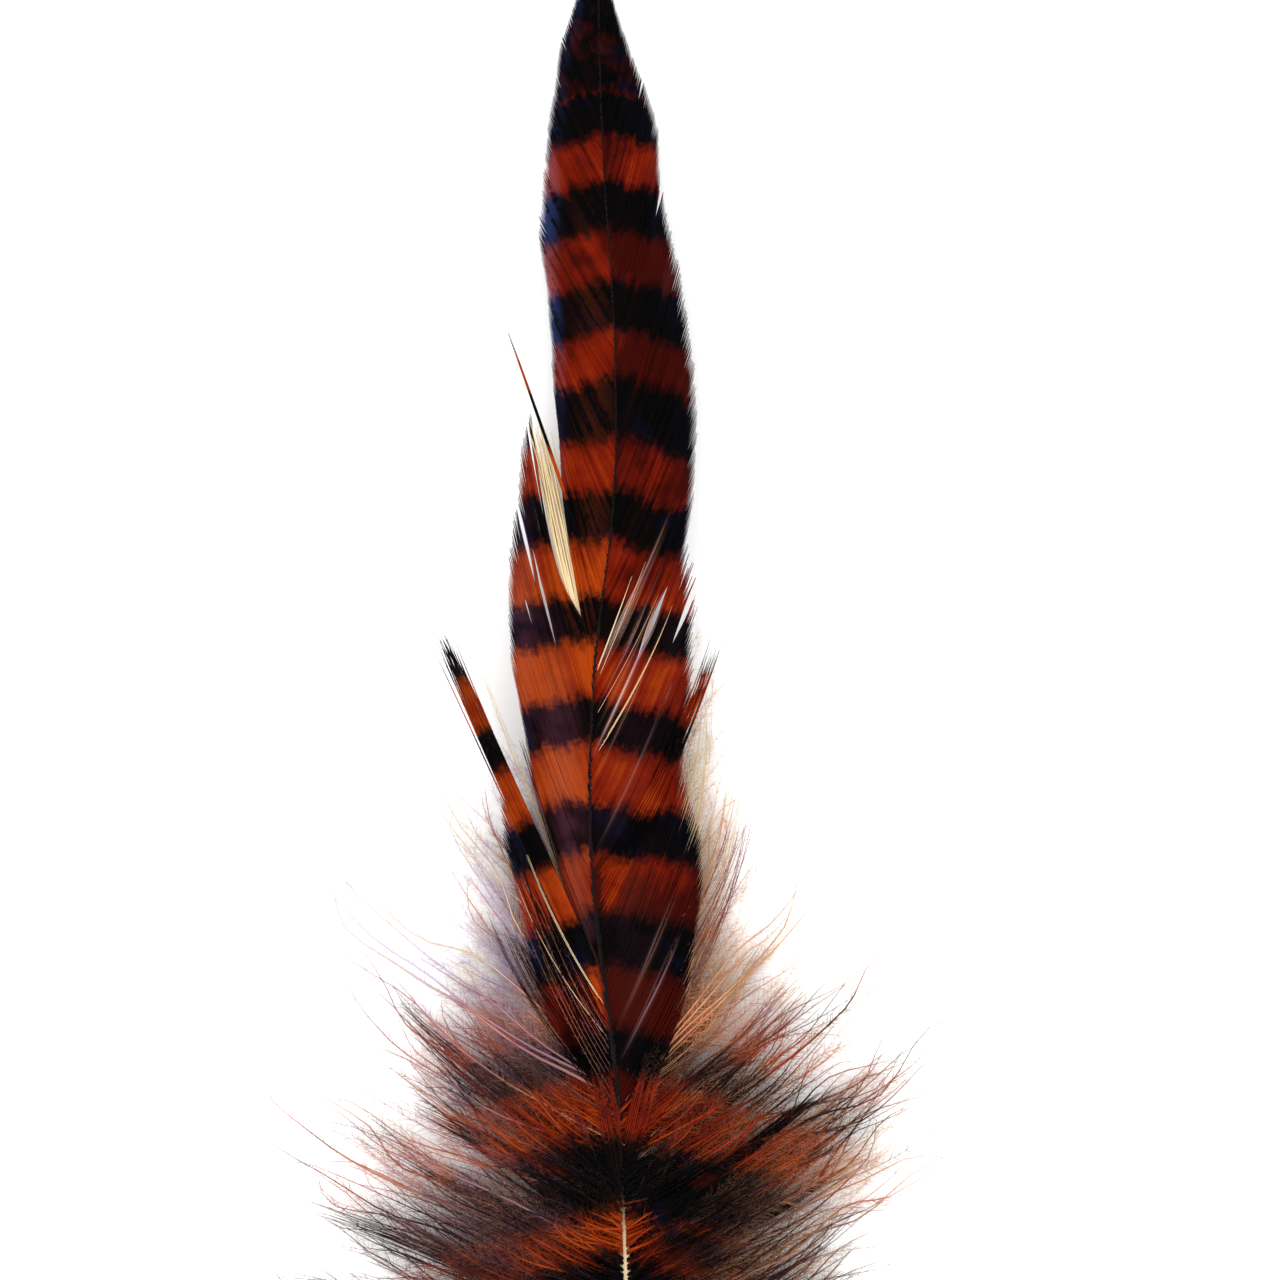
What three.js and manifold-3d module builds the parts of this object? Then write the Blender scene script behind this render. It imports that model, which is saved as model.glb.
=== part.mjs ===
// A barred schlappen feather: the long soft feather from between a rooster's saddle and its tail.
//
// It lies on a surface at z = 0 with its outer side up, its tip towards +Y and its quill towards -Y.
// The origin is on that surface, under the flat of the quill's underside, 6 mm in from the quill's cut end.
// A feather grows as one piece, so the shaft, the vanes and the locks of down are one solid.
//
// The shaft is a tapered tube along a shallow arch. Each side of the vane is a few webs: thin sheets swept
// by barbs, with a slit wherever neighbouring barbs have come apart. The down is a fan of flat locks.
// All sizes are in millimetres.

import * as THREE from "three";
import { mergeVertices } from "three/addons/utils/BufferGeometryUtils.js";
import Module from "manifold-3d";

// The shaft's knots: [along y, across x, height of its underside, radius].
const SHAFT_KNOTS = [
  [-6, 0.0, 0.35, 0.6],
  [-5, 0.0, 0.0, 1.05],
  [5, 0.0, 0.0, 1.05],
  [14, -0.2, 0.6, 0.85],
  [27, -0.7, 2.0, 0.62],
  [39, -1.1, 3.6, 0.52],
  [51, -1.9, 4.9, 0.44],
  [73, -4.4, 6.2, 0.36],
  [93, -4.2, 6.6, 0.3],
  [113, -2.0, 6.1, 0.26],
  [130, -1.9, 4.9, 0.23],
  [151, -3.2, 2.7, 0.2],
  [171.2, -3.85, 0.3, 0.16],
];
const SHAFT_SIDES = 8;
const SHAFT_STEP = 7;

// A barb leaves the shaft steeply and bends forward. Its middle control point lies at these shares of its
// reach across and along.
const BARB_OUT = 0.62;
const BARB_ALONG = 0.4;

// The vane's sheet: its thickness at the shaft and at the edge, and how far the edge droops.
const VANE_ROOT_THICKNESS = 0.5;
const VANE_EDGE_THICKNESS = 0.3;
const VANE_ROOT_PER_SHAFT_RADIUS = 0.7;
const VANE_DROOP = 0.3;
const VANE_DROOP_START = 4;
const VANE_OVERLAP = 0.06;
const BARB_SPACING = 2.6;
const BARB_STEPS = 4;
const EDGE_NOTCH = 0.02;

// The webs of each side: [root y, tip x, tip y] of the barbs that shape a web, from its tip end to its base.
const RIGHT_WEBS = [
  [
    [167, -3.75, 171],
    [160, -2.1, 168.2],
    [154, -0.9, 164.2],
    [145.5, 1.4, 158.4],
    [139, 2.8, 154],
    [130.5, 3.3, 146],
    [121, 5.3, 137.5],
    [110.5, 6.9, 127.6],
    [101, 7.1, 120],
    [94, 6.6, 112.5],
    [89, 5.9, 107.4],
    [86.5, 6.2, 104.9],
    [83, 6.7, 101],
    [79, 6.5, 96],
    [75, 6.5, 91.4],
    [69, 6, 88],
    [63, 5.5, 83],
    [58, 7.4, 76.5],
    [53, 7.8, 71],
    [49, 7.1, 65.5],
    [46.5, 6.3, 59.4],
    [44.5, 4.4, 52.9],
  ],
];
const LEFT_WEBS = [
  [
    [167, -3.95, 171],
    [160, -6.2, 168.2],
    [154, -7.9, 163.4],
    [148, -8.4, 159],
    [142, -9.1, 155.2],
    [135, -9.7, 149],
    [127.5, -10.3, 142],
    [121, -9.4, 136.4],
    [114.5, -8.9, 130.4],
    [108, -8.7, 125.4],
    [100.5, -8, 119.4],
    [93.8, -7.6, 112.8],
  ],
  [
    [92.8, -11.1, 122.4],
    [88.5, -11.9, 119.7],
    [83, -12.7, 112.8],
    [78.5, -13.5, 106.2],
    [74.5, -13.6, 100.7],
    [71, -13.3, 95.2],
    [67.5, -12.3, 89.7],
    [64.5, -11.2, 84.2],
    [61.8, -9.8, 79],
  ],
  [
    [60.8, -14.5, 83.1],
    [56, -14.2, 75.4],
    [52, -12.9, 71],
    [48.5, -11.4, 63.3],
    [46, -9.6, 56.7],
  ],
];

// Strands that have come away from the vane: [root y, bend x, bend y, tip x, tip y, tip height, half width].
const STRAYS = [
  [101.5, -9.2, 119, -13.5, 131, 8, 0.3],
  [57, -16, 88, -21, 98.2, 5.2, 1],
  [72, 5.5, 86, 9.3, 97.6, 6.2, 0.45],
  [60, 8.5, 76, 8.3, 100, 4, 0.7],
];
const STRAY_BEND_SHARE = 0.6;
const STRAY_BEND_RISE = 0.5;

// The down's long locks on each side, from the vane's base to the quill: [root y, tip x, tip y, half width].
// They droop to the surface. A shorter lock stands up between each two of them.
const LEFT_DOWN = [
  [59, -17.8, 79.8, 1.2],
  [55.5, -22.8, 84, 0.7],
  [52, -20, 73.5, 1.4],
  [48, -36.5, 73, 0.9],
  [44.5, -22.8, 57.8, 1.5],
  [41.5, -35.2, 66.8, 0.9],
  [38, -27.4, 58.9, 1.5],
  [34, -28.3, 50.7, 1.5],
  [30, -38.7, 49, 0.9],
  [27, -31.6, 43.5, 1.6],
  [23, -39.8, 41.9, 1.1],
  [20, -37.3, 35.3, 1.6],
  [16.5, -42.8, 29.6, 1.1],
  [13.5, -36.5, 28, 1.6],
  [11.3, -38.5, 21.5, 1.4],
  [9.4, -32, 16.2, 1.4],
  [7.8, -23.5, 11.8, 1.1],
];
const RIGHT_DOWN = [
  [58.5, 9.9, 80.9, 1.1],
  [54.5, 12.8, 80.4, 0.8],
  [51, 11.9, 70.5, 1.3],
  [48.5, 21.8, 73.2, 0.8],
  [45.5, 13.6, 62.5, 1.4],
  [42, 26.2, 62.2, 1.2],
  [38, 23.4, 55.6, 1.5],
  [33.5, 34.4, 54, 1.3],
  [30, 31.7, 50.1, 1.5],
  [26.5, 29.5, 46.4, 1.6],
  [22.5, 34.4, 40.2, 0.9],
  [19.5, 28.4, 37.5, 1.6],
  [16, 27, 31, 1.6],
  [13.3, 32.5, 26.5, 1.3],
  [11.2, 31.5, 20.5, 1.4],
  [9.4, 26.5, 15.6, 1.4],
  [7.8, 19.5, 11.4, 1.1],
];
const LOCK_HALF_THICKNESS = 0.42;
const LOCK_STEPS = 6;

// A lock's width and thickness are its fullness times their half sizes. The fullness starts at the base
// share and swells in the middle by the swell. The tip keeps the last two shares.
const LOCK_BASE = 0.3;
const LOCK_SWELL = 0.9;
const LOCK_SWELL_START = 0.15;
const LOCK_SWELL_POWER = 1.15;
const LOCK_TIP_WIDTH = 0.12;
const LOCK_TIP_THICKNESS = 0.35;

// A long lock bends at this share of the shaft's height.
const DROOP = 0.75;

// The shorter locks: their reach beside the long ones, and how far they stand up. They lie under the vane
// above its base, and stand up in full a lift length below it.
const UPPER_REACH = 0.72;
const UPPER_BEND_RISE = 6.5;
const UPPER_TIP_HEIGHT = 7.5;
const VANE_BASE = 50;
const LIFT_LENGTH = 20;

// Short locks that lie forward over the shaft, where the vane's base goes under the down:
// [root y, lean across, reach along].
const COVER_LOCKS = [
  [36.5, 2.4, 15],
  [33, -2.6, 16],
  [30.5, -6, 15],
  [28, 4.6, 14],
];
const COVER_BEND_LEAN = 0.5;
const COVER_BEND_REACH = 0.4;
const COVER_BEND_RISE = 3;
const COVER_TIP_RISE = 2.8;
const COVER_HALF_WIDTH = 1;

// The joined solid's vertices move by no more than this while it is made simpler.
const SIMPLIFY_DISTANCE = 0.01;
const MERGE_DISTANCE = 1e-5;

// A smooth curve through knots sorted by their first number, read in the column asked for.
function along(knots, at, column) {
  const last = knots.length - 1;
  let i = 0;
  while (i < last - 1 && at > knots[i + 1][0]) i++;
  const slope = (k) => {
    const a = knots[Math.max(k - 1, 0)];
    const b = knots[Math.min(k + 1, last)];
    return (b[column] - a[column]) / (b[0] - a[0]);
  };
  const [p, q] = [knots[i], knots[i + 1]];
  const span = q[0] - p[0];
  const t = (at - p[0]) / span;
  const rise = q[column] - p[column];
  const bend = (slope(i) * span - rise) * (1 - t) - (slope(i + 1) * span - rise) * t;
  return p[column] + rise * t + bend * t * (1 - t);
}

const shaftX = (y) => along(SHAFT_KNOTS, y, 1);
const shaftRadius = (y) => along(SHAFT_KNOTS, y, 3);
const shaftZ = (y) => along(SHAFT_KNOTS, y, 2) + shaftRadius(y) * Math.cos(Math.PI / SHAFT_SIDES);

const shaftPoint = (y) => new THREE.Vector3(shaftX(y), y, shaftZ(y));

const mix = (a, b, t) => a + (b - a) * t;

// A closed geometry from rings of equal length. The first and last rings are capped from their first point.
function loft(rings) {
  const count = rings[0].length;
  const index = [];
  for (let r = 0; r + 1 < rings.length; r++)
    for (let k = 0; k < count; k++) {
      const a = r * count + k;
      const b = r * count + ((k + 1) % count);
      index.push(a, b, a + count, b, b + count, a + count);
    }
  const end = (rings.length - 1) * count;
  for (let k = 1; k + 1 < count; k++) {
    index.push(0, k + 1, k);
    index.push(end, end + k, end + k + 1);
  }
  const geometry = new THREE.BufferGeometry().setFromPoints(rings.flat());
  return geometry.setIndex(index);
}

const wasm = await Module();
wasm.setup();

// A closed geometry as a solid. Its faces are turned outwards if they point in.
function solid(geometry) {
  const merged = mergeVertices(geometry, MERGE_DISTANCE);
  const vertProperties = merged.attributes.position.array;
  const triVerts = new Uint32Array(merged.index.array);
  const made = new wasm.Manifold(new wasm.Mesh({ numProp: 3, vertProperties, triVerts }));
  if (made.volume() > 0) return made;
  for (let i = 0; i < triVerts.length; i += 3)
    [triVerts[i + 1], triVerts[i + 2]] = [triVerts[i + 2], triVerts[i + 1]];
  return new wasm.Manifold(new wasm.Mesh({ numProp: 3, vertProperties, triVerts }));
}

// The shaft: the bare quill and the rachis, with one flat of its section facing down.
function shaft() {
  const first = SHAFT_KNOTS[0][0];
  const flat = SHAFT_KNOTS.slice(0, 3).map((knot) => knot[0]);
  const last = SHAFT_KNOTS.at(-1)[0];
  const steps = Math.round((last - flat[2]) / SHAFT_STEP);
  const stations = [first, flat[1]];
  for (let i = 0; i <= steps; i++) stations.push(mix(flat[2], last, i / steps));
  const rings = stations.map((y) => {
    const [x, z, radius] = [shaftX(y), shaftZ(y), shaftRadius(y)];
    return Array.from({ length: SHAFT_SIDES }, (_, k) => {
      const angle = ((k + 0.5) / SHAFT_SIDES) * 2 * Math.PI;
      return new THREE.Vector3(x + radius * Math.sin(angle), y, z - radius * Math.cos(angle));
    });
  });
  return solid(loft(rings));
}

// A point of a barb, from 0 at the shaft to 1 at its tip, on the drooping sheet of the vane.
function barbPoint([root, tipX, tipY], s) {
  const rootX = shaftX(root) - Math.sign(tipX - shaftX(root)) * VANE_OVERLAP;
  const curve = new THREE.QuadraticBezierCurve(
    new THREE.Vector2(rootX, root),
    new THREE.Vector2(mix(rootX, tipX, BARB_OUT), mix(root, tipY, BARB_ALONG)),
    new THREE.Vector2(tipX, tipY),
  );
  const { x, y } = curve.getPoint(s);
  const on = Math.min(y, SHAFT_KNOTS.at(-1)[0]);
  const out = Math.abs(x - shaftX(on));
  return new THREE.Vector3(x, y, shaftZ(on) - (VANE_DROOP * out * out) / (out + VANE_DROOP_START));
}

// A web is one ring for each barb: out along the barb's top and back along its underside.
function web(keys) {
  const rings = [];
  for (let i = 0; i + 1 < keys.length; i++) {
    const [a, b] = [keys[i], keys[i + 1]];
    const count = Math.max(1, Math.round((a[0] - b[0]) / BARB_SPACING));
    const last = i + 2 === keys.length ? 1 : 0;
    for (let k = 0; k < count + last; k++) {
      const barb = a.map((value, column) => mix(value, b[column], k / count));
      const reach = rings.length % 2 ? 1 - EDGE_NOTCH : 1;
      const ring = [];
      for (let j = 0; j <= BARB_STEPS; j++) {
        const s = (reach * j) / BARB_STEPS;
        const rootHalf = Math.min(VANE_ROOT_THICKNESS / 2, VANE_ROOT_PER_SHAFT_RADIUS * shaftRadius(barb[0]));
        const half = mix(rootHalf, VANE_EDGE_THICKNESS / 2, s);
        const middle = barbPoint(barb, s);
        ring.splice(j, 0, middle.clone().setZ(middle.z + half), middle.clone().setZ(middle.z - half));
      }
      rings.push(ring);
    }
  }
  return solid(loft(rings));
}

// A flat tapering lock along a bent line from inside the shaft to its tip.
function lock(root, bend, tip, halfWidth) {
  const curve = new THREE.QuadraticBezierCurve3(shaftPoint(root), bend, tip);
  const rings = [];
  for (let i = 0; i <= LOCK_STEPS; i++) {
    const s = i / LOCK_STEPS;
    const middle = curve.getPoint(s);
    const course = curve.getTangent(s);
    const side = new THREE.Vector3(-course.y, course.x, 0).normalize();
    const swell = Math.min(1, LOCK_SWELL_START + s) ** LOCK_SWELL_POWER;
    const fullness = LOCK_BASE + LOCK_SWELL * Math.sin(Math.PI * swell);
    const [wide, thick] = i === LOCK_STEPS ? [LOCK_TIP_WIDTH, LOCK_TIP_THICKNESS] : [fullness, fullness];
    const width = halfWidth * wide;
    const thickness = Math.min(LOCK_HALF_THICKNESS * thick, middle.z);
    rings.push([
      middle.clone().addScaledVector(side, width),
      middle.clone().setZ(middle.z + thickness),
      middle.clone().addScaledVector(side, -width),
      middle.clone().setZ(middle.z - thickness),
    ]);
  }
  return solid(loft(rings));
}

// A lock of the down, bent as a barb is.
function downLock(root, tipX, tipY, halfWidth, bendZ, tipZ) {
  const start = shaftPoint(root);
  const bend = new THREE.Vector3(mix(start.x, tipX, BARB_OUT), mix(root, tipY, BARB_ALONG), bendZ);
  return lock(root, bend, new THREE.Vector3(tipX, tipY, tipZ), halfWidth);
}

// The long locks of one side, and the shorter ones that stand up between them.
function down(locks) {
  const made = [];
  locks.forEach(([root, tipX, tipY, halfWidth], i) => {
    const tipZ = LOCK_HALF_THICKNESS * LOCK_TIP_THICKNESS;
    made.push(downLock(root, tipX, tipY, halfWidth, shaftPoint(root).z * DROOP, tipZ));
    if (i + 1 === locks.length) return;
    const [between, x, y, width] = locks[i].map((value, column) => mix(value, locks[i + 1][column], 0.5));
    const start = shaftPoint(between);
    const lift = THREE.MathUtils.clamp((VANE_BASE - between) / LIFT_LENGTH, 0, 1);
    made.push(
      downLock(
        between,
        mix(start.x, x, UPPER_REACH),
        mix(between, y, UPPER_REACH),
        width,
        start.z + UPPER_BEND_RISE * lift,
        mix(start.z * DROOP, UPPER_TIP_HEIGHT, lift),
      ),
    );
  });
  return made;
}

function coverLocks() {
  return COVER_LOCKS.map(([root, lean, reach]) => {
    const toBend = new THREE.Vector3(lean * COVER_BEND_LEAN, reach * COVER_BEND_REACH, COVER_BEND_RISE);
    const toTip = new THREE.Vector3(lean, reach, COVER_TIP_RISE);
    return lock(root, shaftPoint(root).add(toBend), shaftPoint(root).add(toTip), COVER_HALF_WIDTH);
  });
}

function strays() {
  return STRAYS.map(([root, bendX, bendY, tipX, tipY, tipZ, halfWidth]) => {
    const bendZ = mix(shaftPoint(root).z, tipZ, STRAY_BEND_SHARE) + STRAY_BEND_RISE;
    const bend = new THREE.Vector3(bendX, bendY, bendZ);
    return lock(root, bend, new THREE.Vector3(tipX, tipY, tipZ), halfWidth);
  });
}

const pieces = [
  shaft(),
  ...RIGHT_WEBS.map(web),
  ...LEFT_WEBS.map(web),
  ...strays(),
  ...down(LEFT_DOWN),
  ...down(RIGHT_DOWN),
  ...coverLocks(),
];
const whole = wasm.Manifold.union(pieces).simplify(SIMPLIFY_DISTANCE);
const { numProp, vertProperties, triVerts } = whole.getMesh();
if (numProp !== 3) throw new Error("the joined solid has more than positions");
const geometry = new THREE.BufferGeometry()
  .setAttribute("position", new THREE.BufferAttribute(vertProperties, 3))
  .setIndex(new THREE.BufferAttribute(triVerts, 1));
geometry.computeVertexNormals();

const feather = new THREE.Mesh(
  geometry,
  new THREE.MeshStandardMaterial({ color: 0x7a2a10, roughness: 0.6, metalness: 0 }),
);
feather.name = "feather";

const part = new THREE.Group();
part.add(feather);
export default part;
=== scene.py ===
import math

import bpy
import numpy as np
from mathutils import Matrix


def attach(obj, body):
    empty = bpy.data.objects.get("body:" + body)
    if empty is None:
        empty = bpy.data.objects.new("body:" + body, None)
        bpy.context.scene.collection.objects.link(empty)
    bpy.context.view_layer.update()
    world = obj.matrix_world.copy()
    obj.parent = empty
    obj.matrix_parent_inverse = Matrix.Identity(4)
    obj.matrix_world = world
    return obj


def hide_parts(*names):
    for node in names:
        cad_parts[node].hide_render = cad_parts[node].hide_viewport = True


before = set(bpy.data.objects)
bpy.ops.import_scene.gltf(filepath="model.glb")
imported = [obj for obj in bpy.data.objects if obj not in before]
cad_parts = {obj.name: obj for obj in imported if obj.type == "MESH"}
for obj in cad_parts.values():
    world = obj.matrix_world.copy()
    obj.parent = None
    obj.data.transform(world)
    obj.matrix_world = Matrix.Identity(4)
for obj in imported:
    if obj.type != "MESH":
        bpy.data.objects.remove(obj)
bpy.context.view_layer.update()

# Sizes and places are in millimetres, apart from the studio's. Blender works in metres.
MM = 0.001

# Every random draw comes from here, and the pieces are made in a fixed order.
rng = np.random.default_rng(4)

# The photograph's frame in millimetres: its width and centre in the vane's plane, and the plane's height.
FRAME_WIDTH = 140.8
FRAME_CENTRE = (0.88, 97.4)
FRAME_HEIGHT = 3.5

# The camera's focal length and the width of its sensor.
LENS = 180
SENSOR = 36

# The studio, in metres: its middle along y, and its softboxes by azimuth and power.
STUDIO_MIDDLE = 0.09
SOFTBOXES = ((45, 3.5), (135, 5), (225, 3.5), (315, 3.5))
SOFTBOX_SIZE = 0.8
SOFTBOX_DISTANCE = 0.9
SOFTBOX_HEIGHT = 0.8

# The shaft's knots: along y, and then the columns across x, height of its underside, and radius.
ACROSS = 1
HEIGHT = 2
RADIUS = 3
SHAFT_KNOTS = np.array([
    [-6, 0.0, 0.35, 0.6],
    [-5, 0.0, 0.0, 1.05],
    [5, 0.0, 0.0, 1.05],
    [14, -0.2, 0.6, 0.85],
    [27, -0.7, 2.0, 0.62],
    [39, -1.1, 3.6, 0.52],
    [51, -1.9, 4.9, 0.44],
    [73, -4.4, 6.2, 0.36],
    [93, -4.2, 6.6, 0.3],
    [113, -2.0, 6.1, 0.26],
    [130, -1.9, 4.9, 0.23],
    [151, -3.2, 2.7, 0.2],
    [171.2, -3.85, 0.3, 0.16],
])
QUILL_END = SHAFT_KNOTS[0, 0]
TIP_Y = SHAFT_KNOTS[-1, 0]

# The shaft's height as a share of its width.
SHAFT_FLAT_SHARE = math.cos(math.pi / 8)

# A barb's middle control point lies at these shares of its reach across and along.
BARB_OUT = 0.52
BARB_ALONG = 0.44

# The slope at which the vane's sheet droops, and how far out it comes to half of it.
VANE_DROOP = 0.3
VANE_DROOP_START = 4

# The distance between the vane's barbs along the shaft, and the number of points along each.
BARB_SPACING = 0.3
BARB_STEPS = 20

# The webs of each side: [root y, tip x, tip y] of the barbs that shape a web, from its tip end to its base.
RIGHT_WEBS = [
    [
        [167, -3.75, 171],
        [159.5, -2.1, 168.2],
        [152.5, -0.9, 164.2],
        [143, 1.4, 158.4],
        [135.5, 2.8, 154],
        [126.5, 3.3, 146],
        [115.5, 5.3, 137.5],
        [104, 6.9, 127.6],
        [95, 7.1, 120],
        [87.5, 6.6, 112.5],
        [82.3, 5.9, 107.4],
        [79.8, 6.2, 104.9],
        [76, 6.7, 101],
        [71.5, 6.5, 96],
        [67.5, 6.5, 91.4],
        [63.5, 6, 88],
        [58.8, 5.5, 83],
        [54, 7.4, 76.5],
        [50.3, 7.8, 71],
        [47.5, 7.1, 65.5],
        [45.8, 6.3, 59.4],
        [44.5, 4.4, 52.9],
    ],
]
LEFT_WEBS = [
    [
        [167, -3.95, 171],
        [160, -6.2, 168.2],
        [154, -7.9, 163.4],
        [148, -8.4, 159],
        [142, -9.1, 155.2],
        [135, -9.7, 149],
        [127.5, -10.3, 142],
        [121, -9.4, 136.4],
        [114.5, -8.9, 130.4],
        [108, -8.7, 125.4],
        [100.5, -8, 119.4],
        [93.4, -7.6, 112.8],
    ],
    [
        [93.2, -11.1, 122.4],
        [88.5, -11.9, 119.7],
        [83, -12.7, 112.8],
        [78.5, -13.5, 106.2],
        [74.5, -13.6, 100.7],
        [71, -13.3, 95.2],
        [67.5, -12.3, 89.7],
        [64.5, -11.2, 84.2],
        [61.8, -9.8, 79],
    ],
    [
        [60.8, -14.5, 83.1],
        [56, -14.2, 75.4],
        [52, -12.9, 71],
        [48.5, -11.4, 63.3],
        [46, -9.6, 56.7],
    ],
]

# Fine slits between barbs: [root y, where along the barb it starts and ends, width].
RIGHT_SLITS = [
    [144, 0.86, 1.1, 0.14],
    [127.5, 0.86, 1.08, 0.22],
    [93.6, 0.03, 0.45, 0.24],
    [92.4, 0.12, 0.5, 0.14],
    [89, 0.25, 0.5, 0.14],
    [86.6, 0.3, 0.62, 0.1],
    [84.4, 0.5, 0.78, 0.4],
    [81.2, 0.3, 0.6, 0.1],
    [77.2, 0.8, 1.1, 0.34],
    [73.5, 0.6, 0.9, 0.12],
    [54, 0.35, 0.75, 0.12],
    [50.5, 0.3, 0.8, 0.14],
]
LEFT_SLITS = [
    [91, 0.66, 1.1, 0.2],
    [87.6, 0.6, 0.9, 0.1],
    [84.3, 0.42, 0.82, 0.26],
    [83, 0.7, 1.02, 0.28],
    [79.5, 0.7, 0.84, 0.16],
    [74.6, 0.2, 0.5, 0.1],
    [58.2, 0.1, 0.8, 0.24],
    [55.6, 0.3, 0.88, 0.28],
    [53, 0.25, 0.9, 0.2],
    [50.6, 0.2, 0.8, 0.24],
    [48.4, 0.2, 0.7, 0.2],
]

# A slit pushes aside the barbs within about this distance.
SLIT_SPREAD = 1.3

# The barbs just below the wedge in the left side first run close beside the web above, then bow out.
WEDGE_ROOT = 93.3
WEDGE_REACH = 3
WEDGE_BOW = 0.28
WEDGE_CLOSING = 1.35
WEDGE_CLOSING_AT = 0.2
WEDGE_CLOSING_WIDTH = 0.14

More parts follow.
